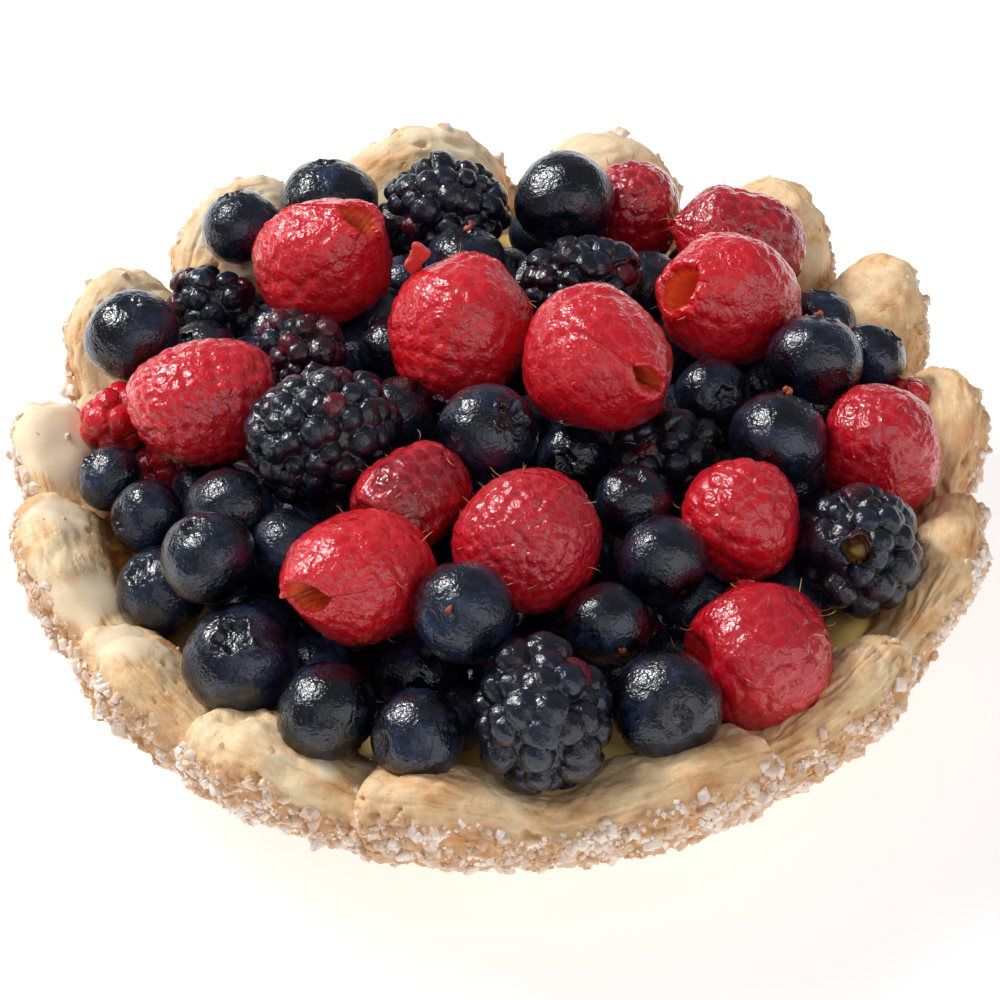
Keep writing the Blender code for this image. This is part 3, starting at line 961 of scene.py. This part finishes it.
def soften(points, width, length, pinch, pinch_turn, close, lean, lean_turn):
    """Press the open end of a thimble until its walls nearly meet, and push one lobe out."""
    low = 1 - smooth_step(-0.45 * length, 0.25 * length, points[:, 2])
    mouth = 1 - smooth_step(-0.5 * length, -0.12 * length, points[:, 2])
    lobe = np.cos(np.arctan2(points[:, 1], points[:, 0]) - math.radians(lean_turn))
    lobe = lobe * smooth_step(0, 0.3 * width, np.hypot(*points.T[:2]))
    side, other = (
        np.array((math.cos(math.radians(turn)), math.sin(math.radians(turn)), 0.0))
        for turn in (pinch_turn, pinch_turn + 90))
    aside, along = points @ side, points @ other
    pressed = np.maximum(np.abs(aside) - 0.5 * pinch * width * low, 0.06 * np.abs(aside))
    points = points + (np.sign(aside) * pressed - aside)[:, None] * side
    points = points + (0.1 * pinch * low * along)[:, None] * other
    points[:, :2] *= (1 - close * mouth ** 2.2)[:, None]
    corner = 0.35 * pinch * length * low * (2 * along / width) ** 2       # the ends are rounded
    points[:, 2] += corner - mouth * lean * lobe
    return points


def raspberry(width, length, pitch, plump, softness, seed):
    rng = np.random.default_rng(seed)
    half = np.array((width / 2, length / 2))
    outline = rounded(RASPBERRY_OUTLINE, FINE_STEPS) * half
    outer = rounded(RASPBERRY_OUTLINE[FIRST_OUTSIDE - 1:], 60) * half
    mesh = thimble.copy()
    write_points(mesh, read_points(mesh) * (half[0], half[0], half[1]))
    points = read_points(mesh)
    normals = read_normals(mesh)
    beads = bead_rows(outer, pitch, rng, 0.17)
    proud = rng.uniform(0.55, 1.25, len(beads))
    away, border, which = nearest_beads(points, beads)
    out = np.hypot(points[:, 0], points[:, 1])
    reach = 0.62 * pitch
    inner = outline[:outline[:, 1].argmin()][::-1]
    inner_wall = np.interp(points[:, 2], inner[:, 1], inner[:, 0])
    hollow_with_painted_glow = (1 - smooth_step(0.0, 0.12 * width, out - inner_wall)) * smooth_step(
        -0.95 * half[1], -0.75 * half[1], points[:, 2])
    hollow_with_painted_glow = hollow_with_painted_glow * (points[:, 2] < 0.5 * half[1])
    relief = 0.36 * plump * proud[which] * (dome(away, reach) - 0.55 * reach)
    relief = relief - 0.12 * plump * np.exp(-(border / 0.28) ** 2)
    relief = relief + 0.1 * lumps(points, 1.3, 2, seed)
    seams = round(math.tau * out.max() / pitch) * np.arctan2(points[:, 1], points[:, 0])
    relief = relief * (1 - hollow_with_painted_glow) + 0.26 * np.cos(seams) * hollow_with_painted_glow
    points = points + relief[:, None] * normals
    uneven = 0.06 * width * lumps(points, 0.55 * width, 1, 3.0 * seed)
    points = points + uneven[:, None] * normals
    write_points(mesh, soften(points, width, length, *softness))
    paint(mesh, "hollow_with_painted_glow", hollow_with_painted_glow)
    paint(mesh, "crease", np.exp(-(border / 0.35) ** 2) * (1 - hollow_with_painted_glow))
    return mesh, soften(beads, width, length, *softness)


def dent(points, middle, width, where, depth, size):
    """Press one spot of a fruit in. The spot is told as seen from the camera."""
    direction = Vector((where[0], 0, 0)) + where[1] * upward + where[2] * back
    direction = np.array(direction.normalized())
    spot = middle + direction * width / 2
    share = np.exp(-(np.linalg.norm(points - spot, axis=1) / size) ** 2)
    return points - depth * share[:, None] * direction


flesh = raspberry_flesh()
hair_roots = []
for number, (bearing, rise, rolled, pitch, plump, tone_and_painted_shade) in enumerate(RASPBERRIES, 1):
    node = f"raspberry_{number:02d}"
    turn, low, high = seat(node, bearing, rise)
    width = GROWN * max(high[0] - low[0], high[1] - low[1])
    length = GROWN * (high[2] - low[2]) / 0.95
    middle = (low + high) / 2
    middle[2] = high[2] - length / 2 / GROWN
    softness = SOFTNESS.get(number, FIRM)
    mesh, beads = raspberry(width, length, pitch, plump, softness, 100 + number)
    seen = aim(bearing + rolled[0], rise + rolled[1])
    points = read_points(mesh) @ seen.T + middle @ turn.T
    if number in DENTS:
        points = dent(points, middle @ turn.T, width, *DENTS[number])
    write_points(mesh, points)
    # Lower on each berry the red is painted darker: painted shade.
    height = points[:, 2] - points[:, 2].min()
    paint(mesh, "tone_and_painted_shade", tone_and_painted_shade * (0.45 + 0.55 * smooth_step(0.1 * width, 0.6 * width, height)))
    hair_roots.append((beads @ seen.T + middle @ turn.T, middle @ turn.T))
    add_piece(f"{node}_fruit", mesh, flesh, (node,))
print("raspberries made:", len(RASPBERRIES))

# %% [markdown]
# ## Brambles
#
# A bramble keeps its core, so it is a solid cluster. Its beads are larger and rounder than
# a raspberry's and nearly black, with a red or violet one here and there that ripened
# later. Each bead mirrors the soft box once, which is what makes the fruit look wet.

# %% Bramble skin and shape
def bramble_skin():
    finish, tree, shader, place = new_finish("glazed_bramble_skin")
    bead = ramp(tree, painted_value(tree, "ripe"), (0.0, colour("5E0A1E")),
                (0.35, colour("220816")), (0.6, colour("0B0C1A")), (1.0, colour("111A2C")))
    # Painted shade: the creases between the beads are darkened.
    skin = mix(tree, scaled(tree, painted_value(tree, "crease"), 0.6), bead, colour("0B0609"))
    skin = mix(tree, painted_value(tree, "pith"), skin, colour("DCA63C"))
    tree.links.new(skin, shader.inputs["Base Color"])
    set_sockets(shader, {
        "Roughness": 0.35, "Specular IOR Level": 0.2, "Coat Weight": 0.85, "Coat Roughness": 0.12,
    })
    add_bump(tree, shader, grain(tree, place, 0.8, 3.0, 0.6, 0.5), 1.0, 0.28, coated=True)
    return finish


BRAMBLES = (       # bearing, rise, bead pitch, share of red beads, whether the core came out
    (5, 0, 3.6, 0.04, False), (5, 5, 3.4, 0.3, False), (350, 0, 3.4, 0.25, False),
    (30, 0, 3.5, 0.06, False), (320, 10, 3.2, 0.9, False), (80, -45, 3.9, 0.12, True),
    (10, 0, 3.4, 0.15, False), (270, -20, 4.2, 0.05, False),
)


def bramble(width, length, pitch, red_share, cored, seed):
    rng = np.random.default_rng(seed)
    mesh = unit_ball(150, 104)
    ball = read_points(mesh)
    half = np.array((width / 2, width / 2, length / 2))
    core = half - 0.42 * pitch
    points = ball * core
    write_points(mesh, points)
    normals = read_normals(mesh)
    turn = np.linspace(0, math.pi, 60)
    profile = np.stack((core[0] * np.sin(turn), core[2] * np.cos(turn)), axis=-1)
    beads = bead_rows(profile, pitch, rng, 0.2)
    sizes = rng.uniform(0.78, 1.25, len(beads))
    away, border, which = nearest_beads(points, beads)
    relief = 0.9 * dome(away / sizes[which], 0.66 * pitch) * sizes[which] - 0.15 * pitch
    relief = relief + 0.24 * lumps(points, 1.6, 2, seed)
    points = points + relief[:, None] * normals
    uneven = 0.05 * width * lumps(points, 0.6 * width, 1, 5.0 * seed)
    points = points + uneven[:, None] * normals
    from_base = np.degrees(np.arccos(np.clip(-ball[:, 2], -1, 1)))
    from_base = from_base + 5 * lumps(ball, 0.25, 2, seed)
    points[:, 2] += cored * 0.28 * length * (1 - smooth_step(5, 15, from_base))
    write_points(mesh, points)
    paint(mesh, "pith", cored * (1 - smooth_step(4, 8, from_base)))
    is_red = rng.uniform(0, 1, len(beads)) < red_share
    red = rng.uniform(0, 0.45, len(beads))
    ripeness = np.where(is_red, red, rng.uniform(0.5, 1, len(beads)))
    paint(mesh, "ripe", ripeness[which])
    # The creases between the beads are painted darker in the skin: painted shade.
    paint(mesh, "crease", np.exp(-(border / 0.35) ** 2))
    return mesh, beads


bramble_finish = bramble_skin()
for number, (bearing, rise, *look) in enumerate(BRAMBLES, 1):
    node = f"bramble_{number:02d}"
    turn, low, high = seat(node, bearing, rise)
    size = (high - low) * GROWN
    mesh, beads = bramble(max(size[0], size[1]), size[2], *look, 200 + number)
    settle(mesh, turn, (low + high) / 2)
    add_piece(f"{node}_fruit", mesh, bramble_finish, (node,))
print("brambles made:", len(BRAMBLES))

# %% [markdown]
# ## Scattering small things
#
# Sugar, hairs and buried fruit are many copies of one small shape. An Array modifier makes
# the copies as one mesh, and each copy's points are then moved by a matrix of its own.

# %% Scatter
def scatter(template, placings):
    """One joined mesh with a copy of the template for each 4 x 4 matrix."""
    holder = bpy.data.objects.new("holder", template)
    scene.collection.objects.link(holder)
    array = holder.modifiers.new("copies", "ARRAY")
    array.use_relative_offset = False
    array.use_constant_offset = True
    array.constant_offset_displace = (0, 0, 0)
    array.count = len(placings)
    bpy.context.view_layer.update()
    mesh = bpy.data.meshes.new_from_object(
        holder.evaluated_get(bpy.context.evaluated_depsgraph_get()))
    bpy.data.objects.remove(holder)
    placings = np.array(placings)
    points = read_points(mesh).reshape(len(placings), -1, 3)
    points = np.einsum("nij,nkj->nki", placings[:, :3, :3], points) + placings[:, None, :3, 3]
    write_points(mesh, points.reshape(-1, 3))
    return mesh


def placing(point, normal, size, rng, sink=0.0):
    """A matrix that stands a copy on a surface, turned at random about the normal."""
    axis = Vector(normal).normalized()
    turn = axis.to_track_quat("Z", "X").to_matrix()
    turn = turn @ Matrix.Rotation(rng.uniform(0, math.tau), 3, "Z")
    scaled = turn @ Matrix.Diagonal(size)
    return Matrix.Translation(Vector(point) - float(sink) * axis) @ scaled.to_4x4()


# %% [markdown]
# ## Coarse sugar
#
# Before baking, the outside of the rim was rolled in coarse decorating sugar. Its blocky
# grains are up to two millimetres wide, frosted, and stuck at all angles. Each is a cube
# with worn edges, and a few lie melted together in flat clusters. They crowd the outer
# face and thin out over the top.

# %% Sugar
def coarse_sugar():
    finish, tree, shader, place = new_finish("coarse_decorating_sugar")
    tint = ramp(tree, grain(tree, place, 2.5, 3.0), (0.38, colour("D9AC80")),
                (0.62, colour("FBECDE")))
    tree.links.new(tint, shader.inputs["Base Color"])
    set_sockets(shader, {
        "Roughness": 0.25, "Specular IOR Level": 0.5, "Subsurface Weight": 0.2,
        "Subsurface Radius": (1.0, 0.9, 0.8), "Subsurface Scale": 0.3 * MM,
    })
    add_bump(tree, shader, grain(tree, place, 0.5, 2.0), 0.4, 0.15)
    return finish


SUGAR_KINDS = (      # name, whether its edges are worn, grains, least and most mm, flatness, sunk
    ("sugar_clusters", True, 300, 1.8, 2.7, 0.5, 0.6),
    ("coarse_sugar", True, 3000, 0.8, 1.9, 1.0, 0.25),
    ("fine_sugar", False, 7000, 0.4, 0.9, 1.0, 0.25),
)

grain_shape = bmesh.new()
bmesh.ops.create_cube(grain_shape, size=1.0)
bmesh.ops.bevel(grain_shape, geom=grain_shape.edges[:], offset=0.14, offset_type="OFFSET",
                affect="EDGES", segments=1, profile=0.5, material=-1)
bmesh.ops.triangulate(grain_shape, faces=grain_shape.faces)
coarse_shape = as_mesh(grain_shape)
points = read_points(coarse_shape)
write_points(coarse_shape, points + 0.28 * np.stack(
    [lumps(points, 0.6, 1, shift) for shift in (3.0, 9.0, 15.0)], axis=-1))
coarse_shape.shade_smooth()
grain_shape = bmesh.new()
bmesh.ops.create_cube(grain_shape, size=1.0)
fine_shape = as_mesh(grain_shape)
fine_shape.shade_flat()

rng = np.random.default_rng(41)
spots = np.concatenate(rim_spots).astype(float)
facing = np.concatenate(rim_normals).astype(float)
outside = np.concatenate(rim_weights)
areas = np.concatenate(rim_areas)
sugar = coarse_sugar()
patchy = smooth_step(-0.3, 0.2, lumps(spots, 5.0, 2, 2.0))
covered = outside ** 1.5 * (0.35 + 0.65 * patchy) * smooth_step(14, 18, spots[:, 2])
stray = 0.004 * (outside < 0.3) * (facing[:, 2] > 0.2) * (spots[:, 2] > 24)
weights = areas * (covered + stray)
for name, worn, count, low, high, flat, sunk in SUGAR_KINDS:
    placings = []
    for index in rng.choice(len(spots), count, replace=False, p=weights / weights.sum()):
        normal = facing[index] + rng.normal(0, 0.45, 3)
        size = rng.uniform(low, high) * rng.uniform(0.6, 1.15, 3) * (1, 1, flat)
        placings.append(placing(spots[index], normal, size, rng, sunk * size[2]))
    add_piece(name, scatter(coarse_shape if worn else fine_shape, placings), sugar)
    print(name, "grains:", len(placings))

# %% [markdown]
# ## Buried fruit and its glaze
#
# Under the top berries lie more, in the dark, drowned in fruit glaze. They show in the
# gaps as dark round shapes. They are plain small balls over a pool of dark jelly. Their
# skin is a copy of the blueberry skin painted lighter: painted light, so that they do
# not go black in the shaded gaps.

# %% Buried fruit
def dark_glaze():
    finish, tree, shader, place = new_finish("dark_fruit_glaze")
    shade = ramp(tree, grain(tree, place, 6.0, 3.0), (0.4, colour("2A1422")),
                 (0.7, colour("4E1222")))
    tree.links.new(shade, shader.inputs["Base Color"])
    set_sockets(shader, {"Roughness": 0.12, "Coat Weight": 0.6, "Coat Roughness": 0.06})
    return finish


BURIED_COUNT = 62
BURIED_REACH = 49                    # mm from the middle
BURIED_GAP = 7.5                     # least distance between two of them, in mm
WALL_RADIUS = 53                     # where more lie, along the far wall

bed_low, bed_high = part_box("fruit_bed")
bed_radius = bed_high.x / MM
pool_foot = bed_low.z / MM
pool_outline = (
    (0, pool_foot), (bed_radius - 2, pool_foot), (bed_radius - 3, pool_foot + 1.0),
    (0, pool_foot + 6),
)
pool = turned(finer(pool_outline, 1.8), 140)
points = read_points(pool)
raised = smooth_step(pool_foot + 0.5, pool_foot + 2.0, points[:, 2])
points[:, 2] += raised * 1.1 * lumps(points * (1, 1, 0), 8.0, 2, 5.0)
points[:, 1] = 0.94 * points[:, 1] + 3.0          # it stops short of the front wall
write_points(pool, points)
add_piece("glaze_pool", pool, dark_glaze(), ("fruit_bed",))

rng = np.random.default_rng(8)
spots = []
while len(spots) < BURIED_COUNT:
    radius = BURIED_REACH * math.sqrt(rng.uniform(0, 1))
    angle = rng.uniform(0, math.tau)
    spot = np.array((radius * math.cos(angle), radius * math.sin(angle)))
    if all(np.linalg.norm(spot - other) > BURIED_GAP for other in spots):
        spots.append(spot)
for bearing in range(15, 180, 14):   # the far side also shows what lies along the wall
    spots.append(on_circle(bearing, WALL_RADIUS))
placings = []
for x, y in spots:
    size = rng.uniform(4.8, 6.2)
    height = 29.5 - 3.5 * (math.hypot(x, y) / 50) ** 2 + rng.uniform(-0.6, 0.6)
    ball = Matrix.Diagonal((size, size, 0.92 * size, 1))
    placings.append(Matrix.Translation((x, y, height)) @ ball)
buried = scatter(unit_ball(28, 18), placings)
for name in ("crown", "scar"):
    paint(buried, name, np.zeros(len(buried.vertices)))
# A lighter copy of the blueberry skin: painted light, so the buried berries do not go black in the
# shaded gaps.
lightened_buried_skin = blueberry_skin("lightened_buried_blueberry_skin", "0E1224", "1A2136", "46536E")
add_piece("buried_berries", buried, lightened_buried_skin, ("fruit_bed",))
print("buried berries:", len(spots))

# %% [markdown]
# ## Hairs and stem bits
#
# A raspberry keeps the dried hairs of its flower, one on a bead: fine, golden and bent.
# Some blueberries keep a crumb of their stem. Such bits are tiny, but they tell real
# fruit from wax fruit. A hair is a stretched ball, bent by a formula.

# %% Hairs
def dried_hair():
    finish, tree, shader, place = new_finish("dried_raspberry_hair")
    gold = ramp(tree, grain(tree, place, 2.0, 2.0), (0.4, colour("8E4A1E")),
                (0.6, colour("E0A860")))
    tree.links.new(gold, shader.inputs["Base Color"])
    set_sockets(shader, {"Roughness": 0.5})
    return finish


HAIRY = {3: 6, 4: 8, 6: 10, 7: 16, 9: 34, 13: 16, 10: 10, 12: 12}      # number: hairs
HAIRS_ON_OTHERS = 4

rng = np.random.default_rng(77)
placings = []
for number, (roots, middle) in enumerate(hair_roots, 1):
    upper = [root for root in roots if root[2] > middle[2] - 1.0]
    count = min(len(upper), HAIRY.get(number, HAIRS_ON_OTHERS))
    for index in rng.choice(len(upper), count, replace=False):
        root = upper[index]
        outward = (root - middle) / np.linalg.norm(root - middle) + rng.normal(0, 0.5, 3)
        size = (1, 1, rng.uniform(1.4, 2.9))
        placings.append(placing(root, outward, size, rng, -0.3))
hair = unit_ball(5, 9)
points = read_points(hair)
points = points * (0.06, 0.06, 0.5) + np.stack(
    (0.35 * points[:, 2] ** 2, 0 * points[:, 2], 0 * points[:, 2]), axis=-1)
write_points(hair, points)
add_piece("raspberry_hairs", scatter(hair, placings), dried_hair())
print("hairs:", len(placings))

# %% [markdown]
# The stem crumbs are told by where they are seen on a berry, so that they face the viewer.

# %% Stem bits
def dried_stem():
    finish, tree, shader, place = new_finish("dried_berry_stem")
    brown = ramp(tree, grain(tree, place, 1.0, 3.0), (0.35, colour("7E3A20")),
                 (0.65, colour("C8623A")))
    tree.links.new(brown, shader.inputs["Base Color"])
    set_sockets(shader, {"Roughness": 0.55})
    add_bump(tree, shader, grain(tree, place, 0.3, 2.0), 0.5, 0.1)
    return finish


STEM_BITS = (        # berry, how far aside and above its middle it is seen, as shares
    ("blueberry_23", -0.3, 0.05), ("blueberry_24", 0.3, -0.6), ("blueberry_10", 0.05, 0.97),
    ("blueberry_11", 0.2, 0.95), ("blueberry_06", 0.1, 0.95),
)

placings = []
for node, aside, above in STEM_BITS:
    low, high = (np.array(corner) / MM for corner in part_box(node))
    near = math.sqrt(max(0.0, 1 - aside ** 2 - above ** 2))
    direction = np.array(Vector((aside, 0, 0)) + above * upward + near * back)
    spot = (low + high) / 2 + direction * (high - low).min() * 0.53
    for _ in range(3):
        place = spot + rng.normal(0, 0.3, 3)
        leaning = direction + rng.normal(0, 0.5, 3)
        placings.append(placing(place, leaning, (0.4, 0.3, 0.6), rng, 0.1))
bit = unit_ball(10, 8)
points = read_points(bit)
write_points(bit, points + (0.35 * lumps(points, 0.8, 2, 6.0))[:, None] * points)
add_piece("stem_bits", scatter(bit, placings), dried_stem())
print("stem bits:", len(placings))

# %% [markdown]
# A torn scrap of raspberry stands between two of the berries at the back.

# %% Raspberry scrap
low, high = (np.array(corner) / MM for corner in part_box("raspberry_02"))
direction = np.array(-0.62 * Vector((1, 0, 0)) + 0.76 * upward + 0.25 * back)
scrap = unit_ball(40, 28)
points = read_points(scrap) * (1.5, 0.8, 3.2)
points[:, 0] += 0.5 * np.sin(points[:, 2])
points = points + (0.3 * lumps(points, 2.0, 2, 4.0))[:, None] * read_points(scrap)
write_points(scrap, points + (low + high) / 2 + direction * (high - low).min() * 0.54)
# A little of the hollow's orange, partly painted light, tints the scrap.
for name, share in (("hollow_with_painted_glow", 0.2), ("crease", 1.0), ("tone_and_painted_shade", 0.8)):
    paint(scrap, name, share + 0 * points[:, 2])
add_piece("raspberry_scrap", scrap, flesh)
print("the scrap stands beside raspberry 2")

# %% [markdown]
# ## Floor
#
# A plain pale floor lets the tart cast a soft shadow to stand on. It is a translucent sheet
# with a little light behind it, as product tables have, so that the shadow stays faint.

# %% Floor
def pale_floor():
    finish, tree, shader, place = new_finish("pale_matt_floor")
    pale = ramp(tree, grain(tree, place, 60.0, 2.0), (0.3, colour("DEDEDE")),
                (0.7, colour("E2E2E2")))
    tree.links.new(pale, shader.inputs["Base Color"])
    set_sockets(shader, {
        "Roughness": 0.9, "Specular IOR Level": 0.1, "Emission Color": grey(1),
        "Emission Strength": 0.6,
    })
    return finish


floor_shape = bmesh.new()
bmesh.ops.create_grid(floor_shape, x_segments=1, y_segments=1, size=3.0)
floor_mesh = as_mesh(floor_shape)
floor_mesh.materials.append(pale_floor())
floor = bpy.data.objects.new("floor", floor_mesh)
scene.collection.objects.link(floor)
print("floor made")
